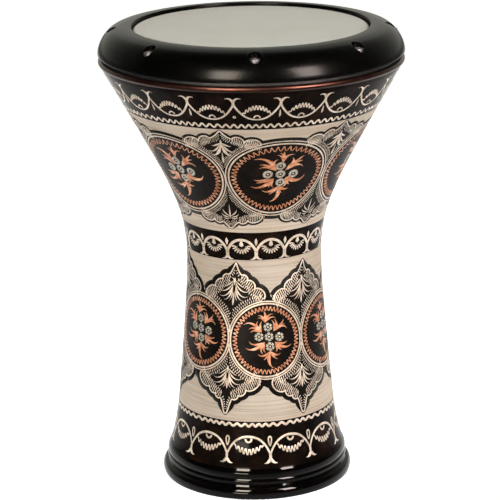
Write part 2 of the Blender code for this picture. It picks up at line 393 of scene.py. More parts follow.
class Piece:
    """Points and faces of one piece while it is being made."""

    def __init__(self, name, *materials):
        self.name = name
        self.materials = materials
        self.points = []
        self.faces = []
        self.slots = []

    def point(self, x, y, z):
        self.points.append((x * MM, y * MM, z * MM))
        return len(self.points) - 1

    def face(self, corners, slot=0):
        """Adds a face, unless its corners fall together in fewer than three points."""
        kept = tuple(c for n, c in enumerate(corners) if c != corners[n - 1])
        if len(kept) > 2:
            self.faces.append(kept)
            self.slots.append(slot)

    def circle(self, centre, radius, height, sides):
        """Adds a ring of points; radius is one number or a function of (step, angle)."""
        ring = []
        for i in range(sides):
            angle = 2.0 * math.pi * i / sides
            r = radius(i, angle) if callable(radius) else radius
            ring.append(self.point(centre[0] + r * math.cos(angle), centre[1] + r * math.sin(angle), height))
        return ring

    def pole(self, centre, height, sides):
        """Adds one point that stands for a whole ring."""
        return [self.point(centre[0], centre[1], height)] * sides

    def on_shell(self, turn, z, lift):
        """Adds a point that stands off the shell, at a turn in degrees from the front."""
        slope = shell_slope(z)
        scale = math.hypot(1.0, slope)
        radius = shell_radius(z) + lift / scale
        angle = math.radians(turn)
        return self.point(radius * math.sin(angle), -radius * math.cos(angle), z - lift * slope / scale)

    def revolve(self, outline, sides, slot_of, centre=(0.0, 0.0), closed=True):
        """Turns an outline of (radius, height) about a vertical axis."""
        rings = []
        for radius, height in outline:
            if radius < 1e-6:
                rings.append(self.pole(centre, height, sides))
            else:
                rings.append(self.circle(centre, radius, height, sides))
        count = len(rings) if closed else len(rings) - 1
        for j in range(count):
            low, high = rings[j], rings[(j + 1) % len(rings)]
            for i in range(sides):
                k = (i + 1) % sides
                self.face((high[i], high[k], low[k], low[i]), slot_of(j))

    def build(self):
        """Makes the object and puts it in the scene."""
        mesh = bpy.data.meshes.new(self.name)
        mesh.from_pydata(self.points, [], self.faces)
        for material in self.materials:
            mesh.materials.append(material)
        mesh.polygons.foreach_set("material_index", self.slots)
        mesh.polygons.foreach_set("use_smooth", [True] * len(self.faces))
        mesh.update()
        return add_object(self.name, mesh)

    def make(self, body, sharp=None):
        """Makes the object, and lets it ride on a body."""
        obj = self.build()
        if sharp is not None:
            obj.data.set_sharp_from_angle(angle=math.radians(sharp))
        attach(obj, body)
        return obj


# ---------------- shell


def band_slot(z):
    """0 for a tinned band and 1 for a black one."""
    if z > ARCADE_BOTTOM or WAIST_BOTTOM < z < WAIST_TOP or z < STEM_BLACK_TOP:
        return 1
    return 0


def shell_rows(marks):
    """Rows of (radius, height) down the shell, with a row at each mark."""
    rows = []
    for high, low in zip(marks, marks[1:]):
        rows += [(shell_radius(z), z) for z in spaced(high, low, 3.5)][:-1]
    return rows + [(shell_radius(marks[-1]), marks[-1])]


def row_slot(rows, k):
    """Band slot of the strip under row k."""
    return band_slot(0.5 * (rows[k][1] + rows[k + 1][1]))


def make_bowl():
    """Bowl with its rolled rim."""
    rim = arc(BEAD_CENTRE, BEAD_RADIUS, 252.0, -72.0, 28)
    outside = shell_rows([BOWL_TOP - 1.0, ARCADE_BOTTOM, WAIST_TOP, SEAM])
    inside = [(inner_radius(z), z) for z in spaced(SEAM, BOWL_TOP - 1.0, 11.0)]
    outline = rim + outside + inside

    def slot_of(j):
        if j < len(rim) - 1:
            return 2
        if j < len(rim):
            return 1
        if j < len(rim) + len(outside) - 1:
            return row_slot(outside, j - len(rim))
        return 3

    piece = Piece("bowl", TIN, LACQUER, SHADED_BEAD, INSIDE)
    piece.revolve(outline, SIDES, slot_of)
    obj = piece.make("drum", 50.0)
    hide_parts("bowl_shell")


def make_stem():
    """Stem with its collar inside the bowl's neck and its moulded, rolled foot."""
    top = SEAM - SEAM_GAP
    collar_inner = COLLAR_RADIUS - 1.4
    collar = [(collar_inner, COLLAR_TOP), (COLLAR_RADIUS, COLLAR_TOP), (COLLAR_RADIUS, top)]
    outside = shell_rows([top, WAIST_BOTTOM, STEM_BLACK_TOP, FLARE_START])
    foot = bezier((shell_radius(FLARE_START), FLARE_START), (85.6, 25.6), (86.6, 21.5), (85.1, 18.3), 12)[1:]
    foot += bezier((85.1, 18.3), (86.4, 17.2), (86.9, 13.6), (85.5, 12.4), 8)[1:]
    foot += bezier((86.2, 11.0), (90.4, 10.4), (92.2, 4.8), (90.2, 0.0), 16)
    sole = [(84.4, 0.0), (FOOT_INNER, 0.8), (FOOT_INNER, 21.0)]
    inside = [(inner_radius(z), z) for z in spaced(FLARE_START, SEAM - 4.0, 11.0)]
    outline = collar + outside + foot + sole + inside + [(collar_inner, SEAM - 1.6)]

    def slot_of(j):
        if j < len(collar) - 1:
            return 2
        if j < len(collar):
            return 1
        if j < len(collar) + len(outside) - 1:
            return row_slot(outside, j - len(collar))
        return 3 if j < len(collar) + len(outside) + len(foot) + 1 else 2

    piece = Piece("stem", TIN, LACQUER, INSIDE, FOOT)
    piece.revolve(outline, SIDES, slot_of)
    obj = piece.make("drum", 50.0)
    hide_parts("stem_shell")


# ---------------- head, ring and bolts

BOLTS = 8
BOLT_CIRCLE = 130.0
RING_SIDES = 224
# Round cuts for each bolt, radius, bottom and top: the pocket and the hole under it
BOLT_CUTS = ((6.0, 421.0, 438.0), (3.4, 412.0, 423.0))

FILM_TOP = 432.2
FILM_UNDER = 431.8
FILM_EDGE = 417.0
FILM_BEND = (106.3, 429.6)


def bolt_places():
    """Centres of the bolts, the first one at the front."""
    angles = [2.0 * math.pi * i / BOLTS for i in range(BOLTS)]
    return [(BOLT_CIRCLE * math.sin(a), -BOLT_CIRCLE * math.cos(a)) for a in angles]


def make_head():
    """Film of the head, bent down over the bearing ring's crown."""
    top = [(r, FILM_TOP) for r in (0.0, 15.0, 35.0, 60.0, 85.0, 100.0)]
    outside = top + arc(FILM_BEND, 2.6, 90.0, 0.0, 10)
    edge = [(108.9, FILM_EDGE), (108.5, FILM_EDGE)]
    inside = arc(FILM_BEND, 2.2, 0.0, 90.0, 10) + [(60.0, FILM_UNDER), (0.0, FILM_UNDER)]
    piece = Piece("head", FILM)
    piece.revolve(outside + edge + inside, SIDES, lambda j: 0, closed=False)
    obj = piece.make("drum", 50.0)
    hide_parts("drumhead", "head_collar")


def ring_outline():
    """Section of the tuning ring, from its opening over the shoulder to its lip."""
    opening = arc((111.0, 433.95), 1.0, 180.0, 90.0, 5)
    top = [(114.0, 434.85), (117.0, 434.75), (119.5, 434.55), (122.8, 434.0)]
    shoulder = bezier((126.0, 433.2), (133.8, 431.2), (141.55, 419.5), (141.95, 410.9), 26)
    lip = arc((140.95, 410.7), 1.0, 0.0, -90.0, 5) + arc((139.2, 410.7), 1.0, 270.0, 180.0, 4)
    under = [(138.2, 414.5), (119.5, 414.5), (119.5, 426.0), (110.0, 426.0)]
    return opening + top + shoulder + lip + under


def add_cutter(name, place, radius, low, high):
    """A plain cylinder used only for cutting."""
    piece = Piece(name)
    outline = [(0.0, high), (radius, high), (radius, low), (0.0, low)]
    piece.revolve(outline, 44, lambda j: 0, place, closed=False)
    return piece.build()


def make_ring():
    """Cast tuning ring, with a round pocket and a hole for each bolt."""
    piece = Piece("cast_ring", POWDER)
    piece.revolve(ring_outline(), RING_SIDES, lambda j: 0)
    obj = piece.build()
    cutters = []
    for i, place in enumerate(bolt_places()):
        for radius, low, high in BOLT_CUTS:
            cutter = add_cutter("cutter_%d_%d" % (i, radius), place, radius, low, high)
            modifier = obj.modifiers.new("pocket", "BOOLEAN")
            modifier.operation = "DIFFERENCE"
            modifier.solver = "EXACT"
            modifier.object = cutter
            cutters.append(cutter)
    bevel = obj.modifiers.new("edges", "BEVEL")
    bevel.width = 0.35 * MM
    bevel.segments = 2
    bevel.limit_method = "ANGLE"
    bevel.angle_limit = math.radians(50.0)
    bpy.context.view_layer.update()
    cut = obj.evaluated_get(bpy.context.evaluated_depsgraph_get())
    done = bpy.data.meshes.new_from_object(cut)
    obj.modifiers.clear()
    obj.data = done
    for cutter in cutters:
        bpy.data.objects.remove(cutter)
    done.polygons.foreach_set("use_smooth", [True] * len(done.polygons))
    done.set_sharp_from_angle(angle=math.radians(40.0))
    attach(obj, "clamp")
    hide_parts("tuning_ring")


def hexagon_radius(angle, corner):
    """Distance from a hexagon's centre to its side, in the direction of an angle."""
    within = math.radians((math.degrees(angle) % 60.0) - 30.0)
    return corner * math.cos(math.radians(30.0)) / math.cos(within)


def make_bolt(number, place):
    """Cap screw: knurled head, hexagon socket with a coned floor, plain shank."""
    sides = 72
    top, bottom, end = 428.6, 422.6, 397.0
    socket_rows = [(2.85, 425.4), (2.85, top - 0.25), (3.05, top)]
    head_rows = [(4.3, top), (4.75, top - 0.15), (4.9, top - 0.5), (4.9, bottom + 0.3), (4.7, bottom)]
    shank_rows = [(3.0, bottom), (3.0, end + 0.5), (2.5, end)]
    piece = Piece("cap_screw_%d" % number, STEEL)
    rings = [piece.pole(place, 424.8, sides)]
    for corner, height in socket_rows:
        rings.append(piece.circle(place, lambda i, angle: hexagon_radius(angle, corner), height, sides))
    for k, (radius, height) in enumerate(head_rows + shank_rows):
        knurl = 0.1 if k in (2, 3) else 0.0
        rings.append(piece.circle(place, lambda i, angle: radius + (knurl if i % 2 else 0.0), height, sides))
    rings.append(piece.pole(place, end, sides))
    for inner, outer in zip(rings, rings[1:]):
        for i in range(sides):
            k = (i + 1) % sides
            piece.face((inner[i], outer[i], outer[k], inner[k]))
    obj = piece.make("bolt_%d" % number, 30.0)
    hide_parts("tuning_bolt_%d" % number)


def finish_cad_nodes():
    """Better materials for the CAD pieces that stay."""
    looks = {"bearing_ring": GAP_SHADE_CASTING, "flesh_hoop": ALUMINIUM}
    for i in range(BOLTS):
        looks["washer_%d" % (i + 1)] = ZINC
    for name, material in looks.items():
        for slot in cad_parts[name].material_slots:
            slot.material = material


# ---------------- engraved ornament


class Spot:
    """A small flat frame on the shell: x mm round to the right, y mm up in height."""

    def __init__(self, turn, z, wide=1.0, tall=1.0, lean=0.0):
        self.turn, self.z, self.wide, self.tall, self.lean = turn, z, wide, tall, lean
        self.radius = shell_radius(z)

    def at(self, x, y):
        across = x * self.wide + self.lean * y
        return (self.turn + math.degrees(across / self.radius), self.z + y * self.tall)


def stroke(piece, points, width, closed=False, lift=LINE_LIFT):
    """A raised line along points of (turn, z); width is one number or one for each point."""
    count = len(points)
    widths = list(width) if isinstance(width, (list, tuple)) else [width] * count
    rows = []
    for i, (turn, z) in enumerate(points):
        before = points[i - 1] if closed or i else points[i]
        after = points[(i + 1) % count] if closed or i < count - 1 else points[i]
        radius, scale = shell_radius(z), stretch(z)
        along = math.radians(after[0] - before[0]) * radius
        up = (after[1] - before[1]) * scale
        length = math.hypot(along, up) or 1.0
        across = (-up / length, along / length)
        half = 0.5 * max(widths[i], THINNEST)
        edge = min(LINE_EDGE, 0.5 * half)
        section = ((-half, LINE_SUNK), (edge - half, lift), (half - edge, lift), (half, LINE_SUNK))
        row = []
        for offset, height in section:
            aside = math.degrees(offset * across[0] / radius)
            row.append(piece.on_shell(turn + aside, z + offset * across[1] / scale, height))
        rows.append(row)
    for i in range(count if closed else count - 1):
        a, b = rows[i], rows[(i + 1) % count]
        for k in range(3):
            piece.face((a[k], b[k], b[k + 1], a[k + 1]))
    if not closed:
        piece.face(rows[0])
        piece.face(rows[-1][::-1])


def leaf(piece, spot, base, tip, bow, width, fattest=0.3, steps=10):
    """A pointed leaf that bends to one side; bow is its bend as a share of its length."""
    dx, dy = tip[0] - base[0], tip[1] - base[1]
    side = (-dy * bow, dx * bow)
    first = (base[0] + 0.35 * dx + side[0], base[1] + 0.35 * dy + side[1])
    second = (base[0] + 0.85 * dx + 1.25 * side[0], base[1] + 0.85 * dy + 1.25 * side[1])
    points = [spot.at(x, y) for x, y in bezier(base, first, second, tip, steps)]
    widths = []
    for i in range(steps + 1):
        t = i / steps
        share = (t / fattest) ** 0.6 if t < fattest else ((1.0 - t) / (1.0 - fattest)) ** 0.85
        widths.append(width * max(share, 0.12))
    stroke(piece, points, widths)


def leaf_pair(piece, spot, base, tip, bow, width, fattest):
    """A leaf and its mirror image."""
    for side in (1.0, -1.0):
        leaf(piece, spot, (side * base[0], base[1]), (side * tip[0], tip[1]), side * bow, width, fattest)


def ellipse(turn, z, wide, tall, steps):
    """Points on an ellipse, wide in degrees round the drum and tall in mm of height."""
    points = []
    for i in range(steps):
        angle = math.radians(360.0 * i / steps)
        points.append((turn + wide * math.cos(angle), z + tall * math.sin(angle)))
    return points


MEDALLIONS = 6
MEDALLION_STEP = 360.0 / MEDALLIONS


class Medallion:
    """One row of medallions: half sizes in degrees round the drum and mm of height."""

    def __init__(self, turn, z, ring, ring_gap, wave_low, wave_high, tilt, heart, heart_size):
        self.turn, self.z, self.tilt = turn, z, tilt
        self.wide, self.tall = ring
        self.ring_gap, self.wave_low, self.wave_high = ring_gap, wave_low, wave_high
        self.heart, self.heart_size = heart, heart_size

    def centre(self, k):
        turn = self.turn + MEDALLION_STEP * k
        return turn, self.z - self.tilt * math.sin(math.radians(turn))

    def outer(self):
        """Half width in degrees and half height in mm of the outer ring."""
        grow = math.degrees(self.ring_gap / shell_radius(self.z))
        return self.wide + grow, self.tall + self.ring_gap


UPPER = Medallion(
    13.0, 310.6, ring=(28.1, 36.4), ring_gap=2.7, wave_low=(23.7, 29.0), wave_high=(26.7, 33.6),
    tilt=0.0, heart=(1.0, 4.4), heart_size=(1.24, 0.93),
)
LOWER = Medallion(
    7.7, 150.0, ring=(29.2, 34.9), ring_gap=2.2, wave_low=(23.8, 28.2), wave_high=(27.2, 32.4),
    tilt=2.8, heart=(1.9, 3.2), heart_size=(1.0, 1.0),
)

RING_LINE = 1.75
OUTER_RING_LINE = 1.35
WAVES = 54
WAVE_LINE = 1.05


def make_rings(name, row):
    """Double tin rings round each medallion."""
    piece = Piece(name, SILVER)
    wide, tall = row.outer()
    for k in range(MEDALLIONS):
        turn, z = row.centre(k)
        stroke(piece, ellipse(turn, z, row.wide, row.tall, 96), RING_LINE, True)
        stroke(piece, ellipse(turn, z, wide, tall, 96), OUTER_RING_LINE, True, LINE_LIFT - 0.02)
    piece.make("drum")


def make_waves(name, row):
    """Wavy copper ring inside each medallion."""
    piece = Piece(name, COPPER)
    steps = WAVES * 8
    for k in range(MEDALLIONS):
        turn, z = row.centre(k)
        points = []
        for i in range(steps):
            angle = 2.0 * math.pi * i / steps
            wave = 0.5 + 0.5 * math.sin(WAVES * angle)
            wide, tall = between(row.wave_low, row.wave_high, wave)
            skew = 0.35 / WAVES * math.cos(WAVES * angle)
            points.append((turn + wide * math.cos(angle + skew), z + tall * math.sin(angle + skew)))
        stroke(piece, points, WAVE_LINE, True)
    piece.make("drum")


# Section of a rosette from its middle out: radius and height
ROSETTE = (
    (0.0, 0.42), (0.55, 0.40), (0.85, 0.10), (0.95, 0.05), (1.6, 0.05), (1.9, 0.30),
    (2.7, 0.33), (3.0, 0.16), (3.3, 0.28), (4.0, 0.26), (4.4, 0.02),
)
GREY, BRIGHT, DARK = 0, 1, 2
ROSETTE_SLOTS = (BRIGHT, BRIGHT, DARK, DARK, DARK, GREY, GREY, GREY, GREY, GREY)
# The petals' strips, which the nicks cut
NICKED = range(6, 10)
ROSETTE_SIDES = 24
CROSS = ((0.0, 0.0), (-0.8, 9.2), (0.8, -9.4), (-9.4, 0.4), (10.0, -0.8))


def add_rosette(piece, spot, x, y, scale, nicks):
    """Ringed boss with a bright dot, cut into petals by dark nicks if asked."""
    flat = 1.0 / stretch(spot.z)
    rows = []
    for j, (radius, height) in enumerate(ROSETTE):
        row = []
        for i in range(ROSETTE_SIDES):
            angle = 2.0 * math.pi * i / ROSETTE_SIDES
            r = radius * scale * (0.92 if i % 2 and j >= 9 else 1.0)
            turn, z = spot.at(x, y)
            turn += math.degrees(r * math.cos(angle) / spot.radius)
            row.append(piece.on_shell(turn, z + r * math.sin(angle) * flat, height))
        rows.append(row)
    for j, slot in enumerate(ROSETTE_SLOTS):
        a, b = rows[j], rows[j + 1]
        for i in range(ROSETTE_SIDES):
            k = (i + 1) % ROSETTE_SIDES
            piece.face((a[i], b[i], b[k], a[k]), DARK if nicks and j in NICKED and i % 4 == 0 else slot)


def heart_spot(row, k):
    """Frame at the middle of a medallion's cross of rosettes."""
    turn, z = row.centre(k)
    return Spot(turn + row.heart[0], z + row.heart[1], *row.heart_size)


def make_rosettes(name, row, scale, nicks):
    """Cross of five rosettes in each medallion."""
    piece = Piece(name, BOSS, SILVER, FIELD)
    for k in range(MEDALLIONS):
        spot = heart_spot(row, k)
        for x, y in CROSS:
            add_rosette(piece, spot, x, y, scale, nicks)
    piece.make("drum")


# Tufts of leaves round a cross: the tuft's root, then each leaf's reach across and up, bend and width
LOWER_FLAMES = (
    ((-3.4, 13.8), (
        (-1.2, 10.6, -0.14, 3.0), (-6.9, 6.5, -0.28, 1.9), (8.1, 7.4, 0.26, 1.9), (-7.1, 3.9, -0.3, 1.9),
        (10.4, 3.2, 0.3, 1.9),
    )),
    ((-6.8, 4.8), (
        (-16.4, 7.2, -0.26, 2.6), (-3.4, 10.4, 0.26, 2.8), (0.6, 10.2, 0.18, 2.2),
        (-12.0, 2.8, -0.22, 2.6), (-10.2, -0.2, -0.2, 2.2),
    )),
    ((4.6, 5.2), (
        (13.2, 1.0, 0.3, 2.4), (11.6, 5.2, 0.14, 2.4), (10.2, 10.4, -0.1, 2.7), (0.8, 11.0, -0.26, 3.0),
        (-1.9, 10.2, -0.2, 2.2),
    )),
    ((-4.2, -5.0), (
        (-14.2, 0.8, 0.22, 2.4), (-17.4, -5.2, 0.22, 3.0), (-2.0, -10.8, -0.24, 2.8),
        (0.5, -10.0, -0.16, 2.2),
    )),
    ((5.6, -5.4), (
        (11.8, -0.2, -0.18, 2.3), (15.6, -4.1, -0.24, 2.9), (6.2, -8.0, -0.1, 2.7),
        (0.7, -9.4, 0.16, 2.5),
    )),
    ((0.8, -13.8), (
        (-11.2, -2.4, 0.28, 2.2), (-6.2, -7.8, 0.1, 2.2), (9.6, -2.6, -0.28, 2.2),
        (7.0, -7.8, -0.14, 2.2), (3.0, -16.2, -0.22, 3.2),
    )),
)
UPPER_FLAMES = (
    ((0.6, 13.4), (
        (-0.2, 12.0, 0.0, 3.0), (-2.8, 10.6, -0.14, 2.2), (-4.8, 8.4, -0.22, 2.0), (6.9, 7.9, 0.3, 2.2),
    )),
    ((-3.6, 4.2), (
        (-15.4, 13.6, -0.26, 2.9), (-11.6, 7.4, -0.15, 2.7), (-12.0, 3.0, -0.26, 2.3),
        (0.4, 12.6, 0.24, 3.0), (-3.2, 11.4, 0.14, 3.0),
    )),
    ((3.2, 4.2), (
        (13.2, 2.0, 0.34, 2.6), (11.8, 9.2, 0.12, 2.6), (11.8, 14.6, 0.02, 2.8), (3.8, 13.2, -0.2, 3.4),
    )),
    ((-4.6, -4.8), (
        (-14.6, -0.6, 0.1, 2.4), (-13.2, -4.0, 0.06, 2.0), (-17.0, -8.2, 0.25, 2.8),
        (0.6, -10.0, -0.22, 2.2), (-3.2, -9.4, -0.1, 2.6),
    )),
    ((4.3, -4.8), (
        (8.2, 2.2, -0.12, 2.6), (15.6, 1.2, -0.36, 3.0), (-1.4, -10.0, 0.22, 2.4), (4.0, -7.6, -0.1, 2.8),
    )),
    ((0.0, -13.6), (
        (-13.2, -4.0, 0.28, 2.4), (-7.2, -8.8, 0.06, 2.2), (8.0, -3.0, -0.28, 2.4),
        (3.2, -8.0, -0.1, 2.2), (-6.0, -17.2, 0.22, 3.0),
    )),
)


def make_flames(name, row, flames, weight):
    """Six tufts of pointed copper leaves round each cross of rosettes."""
    piece = Piece(name, COPPER)
    for k in range(MEDALLIONS):
        spot = heart_spot(row, k)
        for root, leaves in flames:
            for across, up, bow, width in leaves:
                leaf(piece, spot, root, (root[0] + across, root[1] + up), bow, weight * width, 0.32)
    piece.make("drum")


# How far a scallop bulges, as a share of its chord
SCALLOP = 0.46


class Palmette:
    """Scalloped leaf shape between two medallions.

    Half of its outline runs from the tip (0, tip) through cusps of (degrees
    from its axis, height); the last cusp lies on the medallion's outer ring.
    """

    def __init__(self, tip, ogee, cusps, lean, border, hatch, leaves):
        self.tip, self.ogee, self.cusps, self.lean = tip, ogee, cusps, lean
        self.border, self.hatch, self.leaves = border, hatch, leaves

    def half(self, way):
        """Half outline in (degrees from the axis, height) from the tip outward, and its chords."""
        first = (0.28 * self.cusps[0][0], self.tip + self.ogee * way)
        second = (0.62 * self.cusps[0][0], self.cusps[0][1] - 0.1 * self.ogee * way)
        points = bezier((0.0, self.tip), first, second, self.cusps[0], 10)
        chords = list(points)
        for a, b in zip(self.cusps, self.cusps[1:]):
            radius = shell_radius(a[1])
            dx, dy = math.radians(b[0] - a[0]) * radius, b[1] - a[1]
            out = (-dy * way, dx * way) if dx * way > 0.0 or dy * way < 0.0 else (dy * way, -dx * way)
            shift = (math.degrees(out[0] * SCALLOP / radius), out[1] * SCALLOP)
            c = (a[0] + 0.05 * (b[0] - a[0]) + shift[0], a[1] + 0.05 * dy + shift[1])
            d = (b[0] - 0.05 * (b[0] - a[0]) + shift[0], b[1] - 0.05 * dy + shift[1])
            points += bezier(a, c, d, b, 10)[1:]
            chords += [between(a, b, i / 10) for i in range(1, 11)]
        return points, chords


# Leaves of a fan: base, tip, bend and width in mm, right-hand half
DOWN_FAN = (
    ((0.5, -1.0), (9.5, -8.0), -0.06, 1.4),
    ((0.8, -2.4), (14.8, -11.0), -0.28, 1.6),
    ((1.2, -4.4), (13.4, -16.6), -0.28, 1.8),
    ((1.4, -7.0), (8.6, -20.4), -0.18, 1.8),
    ((1.1, -11.0), (4.0, -20.8), -0.12, 1.1),
)
UPPER_FAN = (
    ((0.6, -1.4), (9.0, -4.2), -0.10, 2.2),
    ((0.9, -2.0), (12.6, -8.6), -0.24, 2.0),
    ((0.6, -3.0), (9.6, -12.4), -0.26, 3.3),
)
UP_FAN = (
    ((0.5, 1.6), (6.2, 8.6), -0.16, 1.5),
    ((0.8, 0.4), (7.8, 4.2), -0.20, 1.4),
    ((0.8, -0.6), (6.6, 0.2), -0.22, 1.2),
)

# Hatching: pitch, width, and where the long and the short cuts start and end
COARSE_CUTS = (2.1, 1.0, ((1.3, 3.7), (4.2, 6.4)))
FINE_CUTS = (1.65, 0.8, ((1.2, 3.2), (3.6, 5.4)))
# The last item of each is its plant: kind, fan, height, size across and up, and length of its stalk
UPPER_TOP = Palmette(
    361.5, -3.6, ((5.3, 353.4), (10.6, 348.4), (18.6, 346.3)),
    1.4, 3.3, FINE_CUTS, ("down", UPPER_FAN, 350.5, 1.0, 1.15, 20.0),
)
UPPER_BOTTOM = Palmette(
    258.8, 0.6, ((6.6, 264.8), (12.4, 267.4), (23.2, 271.8)),
    -1.6, 2.6, FINE_CUTS, ("up", UP_FAN, 269.5, 1.0, 1.0, 13.5),
)
LOWER_TOP = Palmette(
    223.0, -5.0, ((6.0, 211.0), (10.2, 205.6), (16.6, 197.6), (25.4, 187.8)),
    5.8, 4.8, COARSE_CUTS, ("down", DOWN_FAN, 207.0, 1.0, 1.0, 25.0),
)
LOWER_BOTTOM = Palmette(
    78.0, 4.0, ((5.0, 92.0), (8.8, 96.2), (14.4, 101.8), (24.4, 113.6)),
    -2.4, 4.6, COARSE_CUTS, ("down", DOWN_FAN, 122.5, 0.95, 0.95, 22.0),
)

OUTLINE = 1.55


def palmette_place(row, palmette, k):
    """Gives a function from (degrees from the axis, height) to (turn, z) that includes the lean."""
    left, right = row.centre(k - 1), row.centre(k)
    middle = 0.5 * (left[0] + right[0])
    waist = 0.5 * (left[1] + right[1])
    rise = palmette.tip - row.z

    def place(x, z):
        share = max(0.0, min(1.0, (z - row.z) / rise))
        return (middle + x + palmette.lean * share, z + waist - row.z)

    return place


def walk(points, pitch):
    """Evenly spaced steps along a line of (turn, z): segment, share of it, and direction."""
    left = 0.5 * pitch
    for i, (a, b) in enumerate(zip(points, points[1:])):
        radius, scale = shell_radius(a[1]), stretch(a[1])
        dx, dy = math.radians(b[0] - a[0]) * radius, (b[1] - a[1]) * scale
        length = math.hypot(dx, dy)
        if length < 1e-6:
            continue
        while left <= length:
            yield i, left / length, dx / length, dy / length
            left += pitch
        left -= length


def hatch(piece, edge, chords, side, cuts, axis):
    """Rows of short parallel cuts that start at a scalloped edge and stop short of the palmette's axis."""
    pitch, width, rows = cuts
    for n, (i, share, dx, dy) in enumerate(walk(chords, 0.5 * pitch)):
        near, far = rows[n % 2]
        turn, z = between(chords[i], chords[i + 1], share)
        start = between(edge[i], edge[i + 1], share)
        radius, scale = shell_radius(z), stretch(z)
        rise = math.hypot(math.radians(start[0] - turn) * radius, (start[1] - z) * scale)
        across = (-dy * side + 0.35 * dx, dx * side + 0.35 * dy)
        room = math.radians(abs(turn - axis(z))) * radius
        far = min(far * (1.0 + 0.06 * math.sin(2.4 * n)), 0.8 * room / max(0.2, abs(across[0])))
        near -= rise if n % 2 == 0 else 0.4 * rise
        if far < near + 0.6:
            continue
        ends = []
        for along in (near, 0.5 * (near + far), far):
            ends.append((turn + math.degrees(across[0] * along / radius), z + across[1] * along / scale))
        stroke(piece, ends, [0.8 * width, width, 0.6 * width], lift=LINE_LIFT - 0.03)


def add_fan(piece, place, leaves):
    """The plant inside a palmette."""
    kind, fan, height, wide, tall, drop = leaves
    turn, z = place(0.0, height)
    span = 20.0 if kind == "down" else -10.0
    foot = place(0.0, height - span)
    lean = math.radians(turn - foot[0]) * shell_radius(z) / span
    spot = Spot(turn, z, wide, tall, lean)
    if kind == "down":
        leaf(piece, spot, (0.0, 1.4), (0.0, -6.0), 0.0, 2.3, 0.25)
        leaf(piece, spot, (0.0, -0.5 * drop), (0.0, -drop), 0.0, 2.1, 0.65)
    else:
        leaf(piece, spot, (0.0, -1.0), (0.0, drop), 0.0, 1.7, 0.35)
    for base, tip, bow, width in fan:
        leaf_pair(piece, spot, base, tip, bow, width, 0.4)


def ring_part(row, k, upper, towards, place_end):
    """Part of a medallion's outer ring that borders a palmette, from the junction outward."""
    turn, z = row.centre(k)
    wide, tall = row.outer()
    start = 8.0
    reach = max(-1.0, min(1.0, place_end / wide))
    end = math.degrees(math.acos(reach))
    points = []
    for i in range(31):
        angle = math.radians(start + (end - start) * i / 30)
        points.append((turn + towards * wide * math.cos(angle), z + upper * tall * math.sin(angle)))
    return points


def make_palmettes(name, row, top, bottom):
    """Outlines, hatching and plants of one frieze's palmettes."""
    piece = Piece(name, SILVER)
    for k in range(MEDALLIONS):
        for palmette, way in ((top, 1.0), (bottom, -1.0)):
            place = palmette_place(row, palmette, k)
            half, chords = palmette.half(way)
            axis = lambda z, place=place: place(0.0, z)[0]
            for side in (1.0, -1.0):
                line = [place(side * x, z) for x, z in half]
                spine = [place(side * x, z) for x, z in chords]
                stroke(piece, line, OUTLINE)
                hatch(piece, line, spine, -side * way, palmette.hatch, axis)
            end = 30.0 - palmette.cusps[-1][0]
            for index, towards in ((k - 1, 1.0), (k, -1.0)):
                border = ring_part(row, index, way, towards, end)
                hatch(piece, border, border, -towards * way, palmette.hatch, axis)
            add_fan(piece, place, palmette.leaves)
    piece.make("drum")


# Fields: degrees between columns, and the border beside a palmette's tip and its growth below the tip
FIELD_STEP = 0.4
BORDER_AT_TIP = 1.2
BORDER_GROWTH = 0.42


def raise_edge(edge, points, width_at, way):
    """Moves a field's edge out to a border's width around points of (turn, z)."""
    count = len(edge)
    for turn, z in points:
        width = width_at(z)
        radius, scale = shell_radius(z), stretch(z)
        reach = math.degrees(width / radius)
        first = math.ceil((turn - reach) / FIELD_STEP)
        last = math.floor((turn + reach) / FIELD_STEP)
        for n in range(first, last + 1):
            off = math.radians(n * FIELD_STEP - turn) * radius
            out = z + way * math.sqrt(max(0.0, width * width - off * off)) / scale
            if way * (out - edge[n % count]) > 0.0:
                edge[n % count] = out


def dense(points, step):
    """The same line with points no further apart than a step, in mm."""
    found = []
    for a, b in zip(points, points[1:]):
        length = math.hypot(math.radians(b[0] - a[0]) * shell_radius(a[1]), b[1] - a[1])
        count = max(1, math.ceil(length / step))
        found += [between(a, b, i / count) for i in range(count)]
    return found + [points[-1]]


def field_edge(row, palmette, way, over, notch):
    """Height of a field's edge at each step of turn, above (way 1) or below (way -1) the medallions.

    The edge stands a border (over) off each medallion, and rises to a blunt point (notch) on its axis.
    """
    edge = [row.z] * round(360.0 / FIELD_STEP)
    wide, tall = row.outer()
    for k in range(MEDALLIONS):
        turn, z = row.centre(k)
        raise_edge(edge, dense(ellipse(turn, z, wide, tall, 120), 0.5), lambda z: over, way)
        if notch > over:
            peak = [(turn + 0.5 * x, z + way * (tall + notch - 0.35 * abs(x))) for x in range(-10, 11)]
            raise_edge(edge, dense(peak, 0.3), lambda z: 0.5, way)
        place = palmette_place(row, palmette, k)
        for side in (1.0, -1.0):
            line = dense([place(side * x, z) for x, z in palmette.half(way)[0]], 0.3)
            tip = line[0][1]
            grown = lambda z: min(palmette.border, BORDER_AT_TIP + BORDER_GROWTH * abs(z - tip))
            raise_edge(edge, line, grown, way)
    return edge


